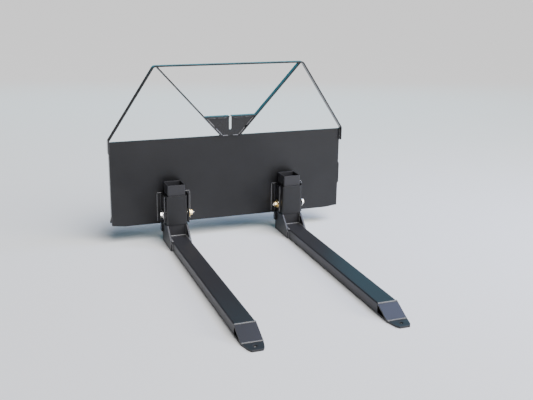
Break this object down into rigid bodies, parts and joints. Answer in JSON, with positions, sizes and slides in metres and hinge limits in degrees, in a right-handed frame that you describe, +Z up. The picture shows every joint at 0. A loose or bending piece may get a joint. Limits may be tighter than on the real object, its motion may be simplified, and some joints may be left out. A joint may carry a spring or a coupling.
{
  "type": "pallet fork attachment",
  "caption": "Skid-steer pallet fork attachment: flat carriage plate with bent-bar load guard, chain hanger, square receivers and drop-in forks held by cross bolts.",
  "frame": {"origin": "on the ground, at the middle of the whole attachment's length and width", "axes": "+Z up; the forks point to -Y and the loader couples at +Y; +X is the side that carries the side lug"},
  "size_m": [1.1556, 1.275, 0.826],
  "materials": {
    "frame_paint": "satin black paint over steel plate and flat bar",
    "fork_paint": "satin black paint over steel tube",
    "zinc_hardware": "yellow zinc plated steel"
  },
  "bodies": {
    "frame": {"face_plate": "frame_paint", "top_lip": "frame_paint", "bottom_flange": "frame_paint", "end_rib_left": "frame_paint", "end_rib_right": "frame_paint", "heel_stop_left_outer": "frame_paint", "heel_stop_left_inner": "frame_paint", "heel_stop_right_inner": "frame_paint", "heel_stop_right_outer": "frame_paint", "side_lug": "frame_paint", "guard_bar": "frame_paint", "brace_left": "frame_paint", "brace_right": "frame_paint", "hanger_plate": "frame_paint", "hanger_bar_left": "frame_paint", "hanger_bar_right": "frame_paint", "sleeve_left": "frame_paint", "sleeve_right": "frame_paint", "angle_left_outer": "frame_paint", "angle_left_inner": "frame_paint", "angle_right_inner": "frame_paint", "angle_right_outer": "frame_paint", "shank_left": "fork_paint", "shank_right": "fork_paint", "gusset_left_outer": "fork_paint", "gusset_left_inner": "fork_paint", "gusset_right_inner": "fork_paint", "gusset_right_outer": "fork_paint", "tine_left": "fork_paint", "tine_right": "fork_paint", "nose_left": "fork_paint", "nose_right": "fork_paint", "tip_left": "fork_paint", "tip_right": "fork_paint"},
    "bolt_left": {"bolt_left": "zinc_hardware", "head_washer_left": "zinc_hardware"},
    "bolt_right": {"bolt_right": "zinc_hardware", "head_washer_right": "zinc_hardware"},
    "washer_left": {"nut_washer_left": "zinc_hardware"},
    "washer_right": {"nut_washer_right": "zinc_hardware"},
    "nut_left": {"nut_left": "zinc_hardware"},
    "nut_right": {"nut_right": "zinc_hardware"}
  },
  "joints": [
    {"name": "bolt_slide_left", "type": "slide", "parent": "frame", "child": "bolt_left", "axis": [-1, 0, 0], "range_m": [0, 0.15]},
    {"name": "bolt_slide_right", "type": "slide", "parent": "frame", "child": "bolt_right", "axis": [1, 0, 0], "range_m": [0, 0.15]},
    {"name": "nut_travel_left", "type": "slide", "parent": "frame", "child": "washer_left", "axis": [1, 0, 0], "range_m": [0, 0.022]},
    {"name": "nut_travel_right", "type": "slide", "parent": "frame", "child": "washer_right", "axis": [-1, 0, 0], "range_m": [0, 0.022]},
    {"name": "nut_turn_left", "type": "hinge", "parent": "washer_left", "child": "nut_left", "pos_m": [-0.2079, 0.53046, 0.139], "axis": [1, 0, 0], "range_deg": [0, 3420]},
    {"name": "nut_turn_right", "type": "hinge", "parent": "washer_right", "child": "nut_right", "pos_m": [0.2209, 0.53046, 0.139], "axis": [-1, 0, 0], "range_deg": [0, 3420]}
  ],
  "couplings": [
    {"joint": "nut_travel_left", "follows": "nut_turn_left", "m_per_rad": 0.0003675},
    {"joint": "nut_travel_right", "follows": "nut_turn_right", "m_per_rad": 0.0003675}
  ]
}
